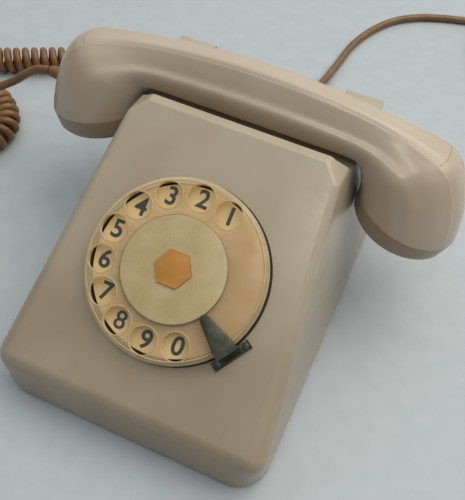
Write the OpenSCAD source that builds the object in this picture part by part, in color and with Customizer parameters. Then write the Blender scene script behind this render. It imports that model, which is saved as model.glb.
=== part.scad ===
// Rotary dial desk telephone: sloping housing, finger dial with governor, ringer,
// cradle switch, lift-off handset and two cords. Millimetres, Z up, the table is z = 0,
// the dial faces -Y, and the origin is under the middle of the housing.

/* [Housing] */
// Width of the housing at the table
base_w = 142; // [134:1:180]
// Depth of the housing from front to back
base_d = 197; // [185:1:240]
// Height of the front ridge where the sloping face starts
skirt_h = 30; // [26:1:36]
// Height of the top edge of the sloping face
top_h = 100.8; // [94:0.2:124]
// Width of the face along its top edge
top_w = 104; // [98:1:112]
// Depth kept behind the face's top edge for the cradle
cradle_d = 71.8; // [68:0.2:90]
// Height of the cradle floor below the face's top edge
cradle_drop = 16.1; // [14:0.1:20]
// Thickness of the moulded housing
wall = 2.8; // [2:0.1:3.4]
// Radius of the housing's upright corners
corner_r = 16; // [12:1:20]
// Height of the rubber feet
foot_h = 4; // [3:0.5:6]
// Width of each cradle horn
horn_w = 20; // [14:1:22]
// Height of the cradle horns above the cradle floor
horn_h = 8.8; // [6:0.2:14]

/* [Dial] */
// Diameter of the clear finger wheel
wheel_d = 87; // [80:1:96]
// Diameter of the finger holes
finger_d = 13.2; // [12:0.1:14]
// Number of finger holes
finger_n = 10; // [10:1:10]
// Angle between neighbouring finger holes
finger_pitch = 25.3; // [24:0.1:27]
// Angle of the first finger hole, clockwise from the top of the face
finger_first = 23.9; // [20:0.1:30]
// Angle of the finger stop, clockwise from the top of the face
stop_angle = 124.5; // [120:0.5:130]
// Diameter of the label disc at the middle
label_d = 50.6; // [40:0.2:52]
// Width across the flats of the hexagonal hub cap
hub_af = 16; // [12:0.5:18]
// Height of the wheel's top above the face
wheel_h = 8.2; // [7.6:0.1:10]
// Diameter of the dial shaft
shaft_d = 6; // [5:0.1:7]

/* [Dial train] */
// Tooth size of the gears, pitch diameter over tooth count
gear_module = 0.7; // [0.6:0.05:0.8]
// Teeth on the main gear
main_teeth = 60; // [60:5:65]
// Teeth on the pinion
pinion_teeth = 12; // [12:1:13]
// Teeth on the worm wheel
worm_teeth = 20; // [18:2:20]
// Extra distance between meshing axes, so that the teeth run free
mesh_gap = 0.4; // [0.3:0.05:0.6]
// Radial running clearance of each shaft in its bearing
run_gap = 0.05; // [0.02:0.01:0.08]

/* [Handset] */
// Length of the handset over its ends
handset_l = 229; // [220:1:238]
// Height of the handle's back above the cradle floor at mid length
handset_h = 28.3; // [27:0.1:33]
// How far the handle's back falls from mid length to the ends
arch = 12; // [8:0.5:14]
// Width of the handle at its sides
handle_w = 29; // [24:1:32]
// Diameter of the screwed caps
cap_d = 55; // [48:1:55]
// Height of the caps
cap_h = 12; // [9:0.5:14]
// Inward tilt of the caps
cap_tilt = 12; // [8:1:16]
// Backward lean of the handset as it lies in the cradle
lean_back = 12; // [8:1:14]

/* [Cords] */
// Diameter of the line cord
line_d = 5.2; // [4.5:0.1:6]
// Diameter of the handset cord's strand
strand_d = 5; // [4:0.1:5.5]
// Outside diameter of the curled handset cord
curl_d = 17; // [14:0.5:18]

/* [Hidden] */
$fn = 48;

// Housing
half_w = base_w / 2;
half_d = base_d / 2;
edge_z = 3;                             // lower edge of the housing
ridge_r = 9;                            // rounding of the front ridge
top_r = 4;                              // rounding of the face's top edge
rear_r = 8;                             // rounding at the back of the cradle
lean = 1;                               // lean of the skirt from edge to ridge
face_y0 = -half_d + 1.7;
face_y1 = half_d - cradle_d;
face_angle = atan((top_h - skirt_h) / (face_y1 - face_y0));
face_l = norm([face_y1 - face_y0, top_h - skirt_h]);
cradle_z = top_h - cradle_drop;
lip_d = 4.8;                            // depth of the lip in front of the cradle
horn_x = 47;                            // middle of each horn
plate_t = 1.6;                          // sheet metal of the base plate
plate_gap = 0.4;
plate_z = foot_h;
inside_z = plate_z + plate_t;
foot_r = 7;
foot_x = half_w - 15;
foot_y = half_d - 16;
boss_r = 4;
boss_x = half_w - wall - boss_r - 1.5;
boss_h = 18;
boss_ys = [-half_d + 38, half_d - 34];
screw_r = 1.5;
head_r = 3;

// Dial: w runs outward from the face, measured from its surface
dial_s = 0.489 * face_l;
wheel_r = wheel_d / 2;
finger_r = wheel_r - 8.65;              // radius of the ring of finger holes
open_r = wheel_r - 0.25;                // opening in the face
case_r = open_r - 0.4;
number_r = wheel_r - 3.1;               // outer edge of the number plate
number_w = wheel_h - 5.8;
number_t = 0.8;
web_t = 2.2;                            // thickness of the finger wheel
shaft_r = shaft_d / 2;
label_r = label_d / 2;
card_t = 0.3;
cover_t = 1.16;
frame_w = -wall - 3.2;                  // underside of the front frame plate
frame_t = 1.4;
rear_w = frame_w - 16.4;                // top of the rear frame plate
main_r = gear_module * main_teeth / 2;
pinion_r = gear_module * pinion_teeth / 2;
worm_r = gear_module * worm_teeth / 2;
thread_r = 2.6;                         // pitch radius of the worm
worm_lead = 2 * PI * gear_module;       // two teeth of its wheel for each turn
lay_v = -(main_r + pinion_r + mesh_gap);
gov_v = lay_v - worm_r - thread_r - mesh_gap;
gear_w = frame_w - 3.4;                 // underside of the main gear
gear_t = 1.4;
worm_w = frame_w - 10.7;                // middle of the worm wheel
worm_t = 2.6;
lay_r = 1.5;
gov_r = 1;
cup_u = 14;                             // start of the governor cup along its shaft
cup_r = 8.5;
pillar_r = 32;                          // ring on which the frame's pillars stand
flange_r = open_r + 3.8;
pillar_angles = [-68, 68, 137, 223];

// Handset
handset_y = half_d - 39.5;
handset_z = cradle_z + handset_h;       // back of the handle at mid length
seam_w = 6;                             // half width of the cover
ridge_w = 11.5;                         // half width at the handle's upper ridge
under_z = cradle_z + 2.2;               // underside of the handle at mid length
under_fall = 0.5;                       // fall of the underside at the housing's sides
cap_r = cap_d / 2;
cup_x = handset_l / 2 - cap_r * cos(cap_tilt) + 0.4;
cup_z = handset_z - 50;                 // middle of the seam between cup and cap
cup_y = handset_y;
end_x = handset_l / 2 - 16;
cup_in = cup_x - cap_r * cos(cap_tilt); // innermost and outermost points of the cap's seam
cup_out = cup_x + cap_r * cos(cap_tilt);
cap_room = 0.6;                         // clearance between the caps and the housing
lip_r = cap_r - 5;                      // lip of each cap, inside the cup
capsule_r = lip_r - 1.8;
gland_z = cup_z + 6;
lead_end_x = -handset_l / 2 - 6.8;      // where the cord leaves the handset's gland

// Cradle switch
hook_y = handset_y - (handset_z - under_z) * sin(lean_back);
hook_x = horn_x;
plunger_r = 3.6;
plunger_gap = 0.05;
plunger_z = handset_z - (handset_z - under_z) * cos(lean_back) - plunger_r * tan(lean_back) - 0.8;
floor_z = cradle_z - wall;              // underside of the cradle floor
bracket_z = floor_z - 11.4;
bar_z = bracket_z - 10.6;
bar_h = 4;
pivot_y = hook_y - 16.5;
pivot_z = bar_z - 0.2 - 1.5;
pivot_r = 1.2;

// Ringer and board
gong_r = 20;
gong_x = gong_r + 6.2;
gong_y = half_d - 30;
gong_z = 30;
clapper_y = gong_y - 16;
coil_r = 8;
coil_z = 24;
coil_l = 18;
board_y0 = -38;
board_y1 = 14;
board_x = 50;
board_z = inside_z + 7;
board_t = 1.6;

// Cord routes: points along the middle of each cord, chosen by hand
rear_y = half_d;
line_y0 = rear_y + 24;
line_route = [[0, line_y0, 13], [0, line_y0 + 20, 12], [2, 168, 9.5], [4, 190, 6],
    [6, 214, 3.2], [9, 238, 2.8], [17, 261, 2.8], [29, 280, 2.8], [45, 293, 2.8],
    [62, 301, 2.8], [80, 307, 2.8], [98, 314, 2.8], [114, 320, 2.8], [130, 322, 2.8]];
coil_c = [130, 288];
coil_mid = 28.6;                        // radius of the coil at the middle of its turns
coil_rows = 3;
end_route = [[164, 288, 2.8], [164, 276, 2.8], [166, 262, 2.8], [170, 250, 2.8]];
plug_p = [170, 250];
tail_x = -44;
tail_route = [[tail_x, line_y0, 12], [tail_x - 1, line_y0 + 8, 10.5], [tail_x - 6, 138, 9],
    [tail_x - 16, 146, 8.5]];
curl_route = [[-60, 146, 8.5], [-80, 150, 8.5], [-105, 148, 8.5], [-135, 138, 8.5],
    [-160, 124, 8.5], [-182, 112, 8.5], [-205, 100, 8.5], [-226, 93, 8.5], [-246, 94, 8.5],
    [-262, 86, 8.5], [-264, 68, 8.5], [-250, 56, 8.5], [-232, 58, 8.5], [-212, 68, 8.5],
    [-194, 70, 8.5], [-176, 62, 8.5], [-165, 47, 8.5], [-168, 30, 8.5], [-182, 18, 8.5],
    [-202, 14, 8.5], [-218, 22, 8.5]];
lead_route = [[-218, 22, 8.5], [-224, 31, 9], [-222, 42, 11], [-212, 49, 15], [-196, 52, 22],
    [-178, 52, 31], [-163, 51, 41], [-150, 50.5, 51], [-140, 50.2, 60.3], [-131, 50, 67],
    [-122.3, 49.9, 69.6]];

// ---- helpers ----

// Stands its children on the face: x across, y up the face, z outward, 0 at the dial's middle
module on_dial() {
    translate([0, face_y0 + dial_s * cos(face_angle), skirt_h + dial_s * sin(face_angle)])
        rotate([face_angle, 0, 0])
            children();
}

// Turns its children clockwise on the face, so that their +Y points along that angle
module clockwise(angle) {
    rotate([0, 0, -angle]) children();
}

// A washer: outer radius, inner radius, lower and upper height
module ring(r_out, r_in, z0, z1) {
    translate([0, 0, z0])
        difference() {
            cylinder(r = r_out, h = z1 - z0);
            translate([0, 0, -1]) cylinder(r = r_in, h = z1 - z0 + 2);
        }
}

module rounded_plate(w, d, r, t) {
    linear_extrude(t) {
        square([w - 2 * r, d], center = true);
        square([w, d - 2 * r], center = true);
        for (x = [-1, 1], y = [-1, 1])
            translate([x * (w / 2 - r), y * (d / 2 - r)]) circle(r);
    }
}

// Outline of a straight-toothed gear
function gear_points(teeth, r, up, down) = [
    for (i = [0 : teeth - 1], k = [0 : 3])
        let (step = 360 / teeth,
             a = step * (i + [-0.30, -0.13, 0.13, 0.30][k]),
             d = k == 0 || k == 3 ? r - down : r + up)
            [d * sin(a), d * cos(a)]];

module gear(teeth, t) {
    linear_extrude(t)
        polygon(gear_points(teeth, gear_module * teeth / 2, 0.8 * gear_module,
            1.1 * gear_module));
}

// Smooth route through hand-set points
function blend_point(a, b, c, d, t) =
    0.5 * (2 * b + (c - a) * t + (2 * a - 5 * b + 4 * c - d) * t * t
        + (3 * b - a - 3 * c + d) * t * t * t);
function smooth_route(p, n) = [
    for (i = [0 : len(p) - 2], j = [0 : n - 1])
        blend_point(p[max(i - 1, 0)], p[i], p[i + 1], p[min(i + 2, len(p) - 1)], j / n),
    p[len(p) - 1]];

// A round tube swept along a route
module tube(route, d, n, sides) {
    p = smooth_route(route, n);
    last = len(p) - 1;
    rings = [for (i = [0 : last], k = [0 : sides - 1])
        let (t = p[min(i + 1, last)] - p[max(i - 1, 0)],
             side = cross(t, [0, 0, 1]) / norm(cross(t, [0, 0, 1])),
             up = cross(side, t) / norm(t),
             a = 360 * (k + 0.5) / sides)
            p[i] + d / 2 * (cos(a) * side + sin(a) * up)];
    walls = [for (i = [0 : last - 1], k = [0 : sides - 1])
        let (a = i * sides + k, b = i * sides + (k + 1) % sides)
            [a, b, b + sides, a + sides]];
    caps = [[for (k = [sides - 1 : -1 : 0]) k], [for (k = [0 : sides - 1]) last * sides + k]];
    polyhedron(rings, concat(walls, caps), convexity = 6);
}

// ---- housing ----

// The housing's outer form, or with g the form inside its wall
module body_form(g) {
    ridge_z = skirt_h + (ridge_r + lean - 1.7) * tan(face_angle) - ridge_r / cos(face_angle);
    top_z = top_h - top_r / cos(face_angle);
    hull() {
        for (x = [-1, 1], y = [-1, 1])
            translate([x * (half_w - corner_r), y * (half_d - corner_r), edge_z - sign(g)])
                cylinder(r = corner_r - g, h = 5, $fn = 40);
        for (x = [-1, 1]) {
            translate([x * (half_w - lean - ridge_r), lean + ridge_r - half_d, ridge_z])
                sphere(ridge_r - g, $fn = 32);
            translate([x * (top_w / 2 - 7), face_y1, top_z])
                sphere(top_r - g, $fn = 24);
            translate([x * (top_w / 2 - 0.5), face_y1 - 8 * cos(face_angle),
                top_z - 8 * sin(face_angle)])
                sphere(top_r - g, $fn = 24);
            translate([x * (top_w / 2 - 3), half_d - rear_r - 5, cradle_z - rear_r + 1.5])
                sphere(rear_r - g, $fn = 24);
        }
    }
}

// The space above the cradle, cut through the housing from side to side
module cradle_space(g) {
    rotate([90, 0, 90])
        linear_extrude(2 * base_w, center = true)
            polygon([[face_y1 + lip_d - g, top_h + 20], [face_y1 + lip_d - g, top_h - 3],
                [face_y1 + lip_d + 8 - g, cradle_z - g], [half_d + 50, cradle_z - g],
                [half_d + 50, top_h + 20]]);
}

// Room for the cups and caps, where they pass close to the housing's sides
module cap_space(g) {
    for (s = [-1, 1]) in_cradle() at_cup(s) rotate_extrude($fn = 72)
        polygon([[0, -cap_h - cap_room - g], [cap_r - 6, -cap_h - cap_room - g],
            [cap_r - 2.8, -cap_h + 0.2 - g], [cap_r - 0.8 + g / 2, -cap_h + 2.6],
            [cap_r + cap_room + g, 0], [cap_r + cap_room + g, 30], [0, 30]]);
}

// A horn behind the handle, with a sloping front
module horn() {
    translate([-horn_w / 2, 0, 0])
        rotate([90, 0, 90])
            linear_extrude(horn_w)
                polygon([[handset_y + handle_w / 2 - 1.5, cradle_z - 1],
                    [handset_y + handle_w / 2 - 1.5, cradle_z + 2],
                    [handset_y + handle_w / 2 + 3.5, cradle_z + horn_h - 1],
                    [handset_y + handle_w / 2 + 5.5, cradle_z + horn_h],
                    [handset_y + handle_w / 2 + 10.5, cradle_z + horn_h],
                    [handset_y + handle_w / 2 + 13.5, cradle_z + horn_h - 2],
                    [handset_y + handle_w / 2 + 14.5, cradle_z - 1]]);
}

// Places its children at the four screw bosses
module at_bosses() {
    for (x = [-1, 1], y = boss_ys) translate([x * boss_x, y, 0]) children();
}

module housing() {
    color("#a39c8a") difference() {
        union() {
            difference() {
                body_form(0);
                cradle_space(0);
                cap_space(0);
                difference() {
                    body_form(wall);
                    cradle_space(wall);
                    cap_space(wall);
                }
            }
            for (s = [-1, 1]) translate([s * horn_x, 0, 0]) horn();
            at_bosses() translate([0, 0, inside_z]) cylinder(r = boss_r, h = boss_h);
            for (x = [-1, 1], y = boss_ys)
                translate([x * (boss_x + 2.5) - 2.5, y - 1, inside_z]) cube([5, 2, boss_h - 6]);
        }
        on_dial() translate([0, 0, -12]) cylinder(r = open_r, h = 24, $fn = 96);
        at_bosses() translate([0, 0, inside_z - 1]) cylinder(r = screw_r, h = boss_h - 4);
        for (s = [-1, 1]) translate([s * hook_x, hook_y, floor_z - 1])
            cylinder(r = plunger_r + 0.4, h = wall + 2);
        on_dial() at_stop_screws() translate([0, 0, -12]) cylinder(r = 1.1, h = 14);
        translate([0, half_d - 10, 13]) rotate([-90, 0, 0])
            rotate([0, 0, 25]) cylinder(r = line_d, h = 20);
        translate([tail_x, half_d - 10, 12]) rotate([-90, 0, 0])
            rotate([0, 0, 25]) cylinder(r = strand_d, h = 20);
    }
}

module base_plate() {
    color("#8d9195") difference() {
        translate([0, 0, plate_z])
            rounded_plate(2 * (half_w - wall - plate_gap), 2 * (half_d - wall - plate_gap),
                corner_r - wall, plate_t);
        at_feet() translate([0, 0, plate_z - 1]) cylinder(r = 3.1, h = 4);
        at_bosses() translate([0, 0, plate_z - 1]) cylinder(r = screw_r, h = 4);
    }
}

module at_feet() {
    for (x = [-1, 1], y = [-1, 1]) translate([x * foot_x, y * foot_y, 0]) children();
}

module rubber_feet() {
    color("#3a3836") at_feet()
        rotate_extrude()
            polygon([[0, 0], [foot_r - 1, 0], [foot_r, 1], [foot_r - 0.5, foot_h],
                [3, foot_h], [3, inside_z], [4.2, inside_z], [3.4, inside_z + 1.4],
                [0, inside_z + 1.4]]);
}

module housing_screws() {
    color("#b9bcbf") at_bosses() {
        translate([0, 0, plate_z - 1.8]) cylinder(r = head_r, h = 1.8);
        translate([0, 0, plate_z - 0.5]) cylinder(r = screw_r - 0.06, h = boss_h - 5);
    }
}

// ---- dial ----

module dial_case() {
    color("#5b5040") on_dial() difference() {
        rotate_extrude($fn = 96)
            polygon([[7, -1.2], [case_r - 1.4, -1.2], [case_r - 1.4, -wall - 1.8],
                [flange_r, -wall - 1.8], [flange_r, -wall - 0.4], [case_r, -wall - 0.4],
                [case_r, 2.2], [case_r - 1.2, 2.2], [case_r - 1.2, 0.4],
                [number_r - 0.5, 0.4], [number_r - 0.5, number_w], [label_r + 1, number_w],
                [label_r + 1, 0.4], [7, 0.4]]);
        at_frame_screws() translate([0, 0, -wall - 3]) cylinder(r = 1.2, h = 4);
    }
}

module at_frame_screws() {
    for (a = [0, 90, 180, 270]) clockwise(a + 45) translate([0, flange_r - 1.9, 0]) children();
}

module number_plate() {
    color("#d3b878") on_dial()
        translate([0, 0, number_w])
            rotate_extrude($fn = 96)
                polygon([[label_r - 1, 0], [number_r, 0], [number_r, number_t - 0.2],
                    [number_r - 0.2, number_t], [label_r - 1, number_t]]);
}

module at_stop_screws() {
    clockwise(stop_angle)
        for (s = [-1, 1]) translate([s * 7.6, wheel_r + 2.9, 0]) children();
}

module finger_stop() {
    top = wheel_h + 3.2;
    color("#6d7270") on_dial() difference() {
        clockwise(stop_angle) union() {
            translate([-10, wheel_r + 0.5, 0.05]) cube([20, 4.6, 1.2]);
            translate([-5.3, wheel_r + 0.8, 0.05]) cube([10.6, 1.5, top - 0.05]);
            translate([0, 0, top - 1.2]) linear_extrude(1.2) {
                polygon([[-5.3, wheel_r + 2.3], [5.3, wheel_r + 2.3], [5.3, wheel_r - 2],
                    [2.3, label_r + 2], [-2.3, label_r + 2], [-5.3, wheel_r - 2]]);
                translate([0, label_r + 2]) circle(2.3);
            }
        }
        at_stop_screws() translate([0, 0, -1]) cylinder(r = 1.1, h = 4);
    }
}

module finger_stop_screws() {
    color("#8b8f8d") on_dial() at_stop_screws() {
        translate([0, 0, 1.25]) cylinder(r = 1.8, h = 0.9);
        translate([0, 0, -wall - 0.3]) cylinder(r = 1.05, h = wall + 2.3);
    }
}

module finger_wheel() {
    color("#d9b271", 0.75) on_dial() difference() {
        rotate_extrude($fn = 120)
            polygon([[shaft_r + 0.02, wheel_h - 4], [8, wheel_h - 4], [9.5, wheel_h - web_t],
                [wheel_r - 3, wheel_h - web_t], [wheel_r - 1.6, wheel_h - 4],
                [wheel_r, wheel_h - 4], [wheel_r, wheel_h - 2.2], [wheel_r - 2.9, wheel_h],
                [shaft_r + 0.02, wheel_h]]);
        at_finger_holes() translate([0, 0, wheel_h - 6]) cylinder(d = finger_d, h = 8);
    }
}

module at_finger_holes() {
    for (i = [0 : finger_n - 1])
        clockwise(finger_first - finger_pitch * i) translate([0, finger_r, 0]) children();
}

module label_card() {
    color("#c9c4a0") on_dial() ring(label_r - 0.4, hub_af * 0.6, wheel_h, wheel_h + card_t);
}

module label_cover() {
    color("#b3aa80") on_dial() translate([0, 0, wheel_h + card_t]) difference() {
        rotate_extrude($fn = 96)
            polygon([[0, 0], [label_r, 0], [label_r, cover_t - 0.4],
                [label_r - 0.4, cover_t], [0, cover_t]]);
        translate([0, 0, -1]) hexagon(hub_af + 0.2, cover_t + 2);
    }
}

module hexagon(af, h) {
    cylinder(r = af / sqrt(3), h = h, $fn = 6);
}

module hub_cap() {
    color("#c07d42") on_dial() difference() {
        translate([0, 0, wheel_h + card_t]) hexagon(hub_af, cover_t + 0.7);
        translate([0, 0, wheel_h]) cylinder(r = 3.3, h = 1.4);
    }
}

module hub_screw() {
    color("#b9bcbf") on_dial() {
        translate([0, 0, wheel_h]) cylinder(r = 2.9, h = 1.2);
        translate([0, 0, wheel_h - 8]) cylinder(r = 1.3, h = 8.5);
    }
}

module dial_shaft() {
    end_w = rear_w - frame_t - 0.6;
    color("#b0b3b5") on_dial() difference() {
        translate([0, 0, end_w]) cylinder(r = shaft_r, h = wheel_h - end_w);
        translate([0, 0, wheel_h - 9]) cylinder(r = 1.35, h = 10);
    }
}

module main_gear() {
    color("#b99a55") on_dial() difference() {
        translate([0, 0, gear_w]) gear(main_teeth, gear_t);
        translate([0, 0, gear_w - 1]) cylinder(r = shaft_r + 0.02, h = gear_t + 2);
        for (a = [0 : 72 : 288]) clockwise(a)
            translate([0, main_r * 0.6, gear_w - 1]) cylinder(r = 3.6, h = gear_t + 2);
    }
}

module pulse_cam() {
    cam_r = main_r - 4.5;
    color("#e6e1d2") on_dial() translate([0, 0, gear_w + gear_t + 0.4]) difference() {
        union() {
            cylinder(r = cam_r - 2.5, h = 1.2);
            for (i = [0 : finger_n - 1]) clockwise(i * finger_pitch)
                translate([-1.4, 0, 0]) cube([2.8, cam_r, 1.2]);
        }
        translate([0, 0, -1]) cylinder(r = shaft_r + 0.02, h = 4);
    }
}

module dial_frame() {
    color("#9a9c98") on_dial() difference() {
        union() {
            translate([0, 0, frame_w]) cylinder(r = flange_r - 3.5, h = frame_t, $fn = 96);
            at_frame_screws() translate([-3, -6, frame_w]) cube([6, 8.4, frame_t]);
            for (a = pillar_angles) clockwise(a)
                translate([0, pillar_r, rear_w - 0.5]) cylinder(r = 2.4, h = frame_w - rear_w + 1);
            translate([0, 0, rear_w - frame_t]) linear_extrude(frame_t) {
                circle(9);
                for (a = pillar_angles) rotate(-a) {
                    translate([-3, 0]) square([6, pillar_r]);
                    translate([0, pillar_r]) circle(4);
                }
                translate([-4, lay_v - 4]) square([8, -lay_v]);
            }
            for (u = [-10, 12]) translate([u - 1, gov_v - 2.5, worm_w - 3])
                cube([2, 5, frame_w - worm_w + 3.2]);
        }
        translate([0, 0, rear_w - 5]) cylinder(r = shaft_r + run_gap, h = 30);
        translate([0, lay_v, rear_w - 5]) cylinder(r = lay_r + run_gap, h = 30);
        translate([-20, gov_v, worm_w]) rotate([0, 90, 0]) cylinder(r = gov_r + run_gap, h = 40);
        at_frame_screws() translate([0, 0, frame_w - 1]) cylinder(r = 1.2, h = 4);
    }
}

module dial_frame_screws() {
    color("#b9bcbf") on_dial() at_frame_screws() {
        translate([0, 0, frame_w - 1.2]) cylinder(r = 2.2, h = 1.2);
        translate([0, 0, frame_w - 0.5]) cylinder(r = 1.15, h = 3);
    }
}

module worm_wheel_shaft() {
    color("#c2a55f") on_dial() translate([0, lay_v, 0]) {
        translate([0, 0, rear_w - frame_t - 0.4]) cylinder(r = lay_r, h = frame_w - rear_w + 3);
        translate([0, 0, gear_w - 0.6])
            rotate([0, 0, 180 / pinion_teeth]) gear(pinion_teeth, gear_t + 1);
        translate([0, 0, worm_w - worm_t / 2]) gear(worm_teeth, worm_t);
        translate([0, 0, worm_w + worm_t / 2 - 0.2]) cylinder(r = 3, h = 2);
    }
}

module governor_shaft() {
    color("#b0b3b5") on_dial() translate([0, gov_v, worm_w]) rotate([0, 90, 0]) {
        translate([0, 0, -11.5]) cylinder(r = gov_r, h = 32);
        translate([0, 0, -7]) rotate([0, 0, 180 - 360 * 7 / worm_lead])
            linear_extrude($fn = 8, 14, twist = -360 * 14 / worm_lead, slices = 36)
                translate([0.55, 0]) circle(thread_r - 0.5, $fn = 10);
    }
}

module governor_weights() {
    color("#a4863f") on_dial() translate([cup_u + 4, gov_v, worm_w]) rotate([0, 90, 0])
        difference() {
            union() {
                translate([-6.4, -1.4, 0]) cube([12.8, 2.8, 2]);
                for (s = [-1, 1]) translate([s * 4.6, 0, 0]) cylinder(r = 2.1, h = 3.4);
            }
            translate([0, 0, -1]) cylinder(r = gov_r + 0.02, h = 6);
        }
}

module governor_cup() {
    color("#8b8f8d") on_dial() translate([cup_u - 1, gov_v, worm_w]) rotate([0, 90, 0])
        difference() {
            cylinder(r = cup_r, h = 9);
            translate([0, 0, 1.2]) cylinder(r = cup_r - 1, h = 9);
            translate([0, 0, -1]) cylinder(r = gov_r + 0.5, h = 4);
        }
}

// A flat spiral band round the dial shaft
function spiral(r0, r1, turns, steps) = [for (i = [0 : steps])
    let (a = 360 * turns * i / steps, r = r0 + (r1 - r0) * i / steps) [r * cos(a), r * sin(a)]];

module return_spring() {
    inner = spiral(shaft_r + 2, main_r - 6.5, 5, 120);
    outer = spiral(shaft_r + 2.6, main_r - 5.9, 5, 120);
    color("#55585c") on_dial() translate([0, 0, gear_w - 10.4]) linear_extrude(6.4)
        polygon(concat(inner, [for (i = [120 : -1 : 0]) outer[i]]));
}

module pulse_contacts() {
    color("#c9a45c") on_dial() clockwise(110) translate([0, main_r - 3.6, 0]) {
        for (i = [0 : 2]) translate([-1.6 + i * 1.5, i == 0 ? 0 : 1, gear_w + gear_t + 0.6])
            cube([0.3, 13, 1.2]);
        translate([-3, 10.5, gear_w + gear_t + 0.5]) cube([7, 4, frame_w - gear_w - gear_t - 0.5]);
    }
}

// ---- ringer ----

module ringer_frame() {
    color("#8f9396") difference() {
        union() {
            translate([-24, clapper_y - 32, inside_z]) cube([48, 30, 1.6]);
            translate([-20, clapper_y - 24, inside_z + 1]) cube([40, 1.6, 26]);
            for (s = [-1, 1]) {
                translate([s * gong_x - 5, gong_y - 5, inside_z]) cube([10, 10, 1.6]);
                translate([s * gong_x, gong_y, inside_z]) cylinder(r = 3, h = gong_z - inside_z);
                translate([min(s * gong_x, s * 16) - 4, clapper_y - 4, inside_z])
                    cube([abs(gong_x - 16) + 8, gong_y - clapper_y + 2, 1.6]);
            }
            translate([-2, clapper_y - 4, inside_z]) cube([4, 8, gong_z - inside_z - 3]);
        }
        for (s = [-1, 1]) translate([s * gong_x, gong_y, inside_z + 6])
            cylinder(r = 1.5, h = 40);
        translate([0, clapper_y, inside_z + 4]) cylinder(r = 1 + run_gap, h = 40);
    }
}

module ringer_coils() {
    color("#8c3b22") for (s = [-1, 1])
        translate([s * 10, clapper_y - 24 + 1.6, coil_z])
            rotate([-90, 0, 0]) {
                cylinder(r = coil_r, h = 1);
                cylinder(r = coil_r - 1.4, h = coil_l - 1);
                translate([0, 0, coil_l - 2]) cylinder(r = coil_r, h = 1);
            }
}

module gong(s) {
    color("#c7a65a") translate([s * gong_x, gong_y, gong_z])
        rotate_extrude($fn = 72)
            polygon([[1.55, 11], [1.55, 12.2], [8, 12.2], [15, 10.6], [19, 7], [gong_r, 0],
                [gong_r - 1.3, 0], [17.6, 6.4], [14.4, 9.5], [8, 11]]);
}

module gong_left() {
    gong(-1);
}

module gong_right() {
    gong(1);
}

module gong_screws() {
    color("#b9bcbf") for (s = [-1, 1]) translate([s * gong_x, gong_y, 0]) {
        translate([0, 0, gong_z + 12.2]) cylinder(r = 3, h = 1.8);
        translate([0, 0, gong_z - 10]) cylinder(r = 1.45, h = 23);
        translate([0, 0, gong_z]) cylinder(r = 2.6, h = 11);
    }
}

module clapper() {
    color("#9ea2a5") translate([0, clapper_y, 0]) {
        translate([0, 0, gong_z - 9]) cylinder(r = 1, h = 12);
        translate([-1, 0, gong_z - 0.4]) cube([2, gong_y - clapper_y - 2, 1.6]);
        translate([0, gong_y - clapper_y, gong_z + 0.4]) sphere(3, $fn = 32);
        translate([-14, -1.4, gong_z - 2.6]) cube([28, 2.8, 2.4]);
    }
}

// ---- board ----

module at_standoffs() {
    for (x = [-board_x + 5, board_x - 5], y = [board_y0 + 5, board_y1 - 5])
        translate([x, y, 0]) children();
}

module board_standoffs() {
    color("#c9c4b4") at_standoffs() {
        translate([0, 0, inside_z]) cylinder(r = 3, h = board_z - inside_z);
        translate([0, 0, board_z - 0.5]) cylinder(r = 1.45, h = board_t + 1.5);
    }
}

module circuit_board() {
    color("#8a6f3c") difference() {
        translate([-board_x, board_y0, board_z])
            cube([2 * board_x, board_y1 - board_y0, board_t]);
        at_standoffs() translate([0, 0, board_z - 1]) cylinder(r = 1.5, h = 4);
    }
}

module transformer() {
    z = board_z + board_t;
    color("#5a4a3a") {
        translate([-42, board_y0 + 14, z]) cube([26, 24, 4]);
        translate([-40, board_y0 + 12, z + 4]) cube([22, 28, 12]);
        translate([-42, board_y0 + 14, z + 16]) cube([26, 24, 4]);
    }
}

module capacitor() {
    color("#b59a4a") translate([8, board_y0 + 28, board_z + board_t]) cube([32, 14, 19]);
}

module resistors() {
    color("#9b4a33") for (i = [0 : 3])
        translate([-8, board_y0 + 16 + i * 6, board_z + board_t + 1.6])
            rotate([0, 90, 0]) cylinder(r = 1.5, h = 9);
}

module terminal_block() {
    color("#3b3a38") difference() {
        translate([-12, board_y0 + 1, board_z + board_t]) cube([48, 9, 9]);
        at_terminals() translate([0, 0, board_z + board_t + 3]) cylinder(r = 1.5, h = 8);
    }
}

module at_terminals() {
    for (i = [0 : 5]) translate([-8 + i * 8, board_y0 + 5.5, 0]) children();
}

module terminal_screws() {
    color("#c9a45c") at_terminals() {
        translate([0, 0, board_z + board_t + 4]) cylinder(r = 1.45, h = 5.5);
        translate([0, 0, board_z + board_t + 9]) cylinder(r = 2.6, h = 1.6);
    }
}

// ---- cradle switch ----

module hook_bracket() {
    color("#9a9c98") difference() {
        union() {
            translate([-hook_x - 7, hook_y - 9, bracket_z]) cube([2 * hook_x + 14, 20, 1.6]);
            for (s = [-1, 1]) translate([s * (hook_x - 10) - 1, hook_y + 4, bracket_z])
                cube([2, 7, floor_z - bracket_z]);
            for (s = [-1, 1]) translate([s * 13 - 1, pivot_y - 3.5, pivot_z - 3.5])
                cube([2, 12, bracket_z - pivot_z + 5.1]);
            translate([-14, pivot_y - 3.5, bracket_z]) cube([28, 14, 1.6]);
        }
        for (s = [-1, 1]) translate([s * hook_x, hook_y, bracket_z - 1])
            cylinder(r = plunger_r + plunger_gap, h = 4);
        translate([-20, pivot_y, pivot_z]) rotate([0, 90, 0]) cylinder(r = pivot_r + 0.03, h = 40);
    }
}

module hook_pin() {
    color("#b0b3b5") translate([-15, pivot_y, pivot_z]) rotate([0, 90, 0])
        cylinder(r = pivot_r, h = 30);
}

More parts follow.
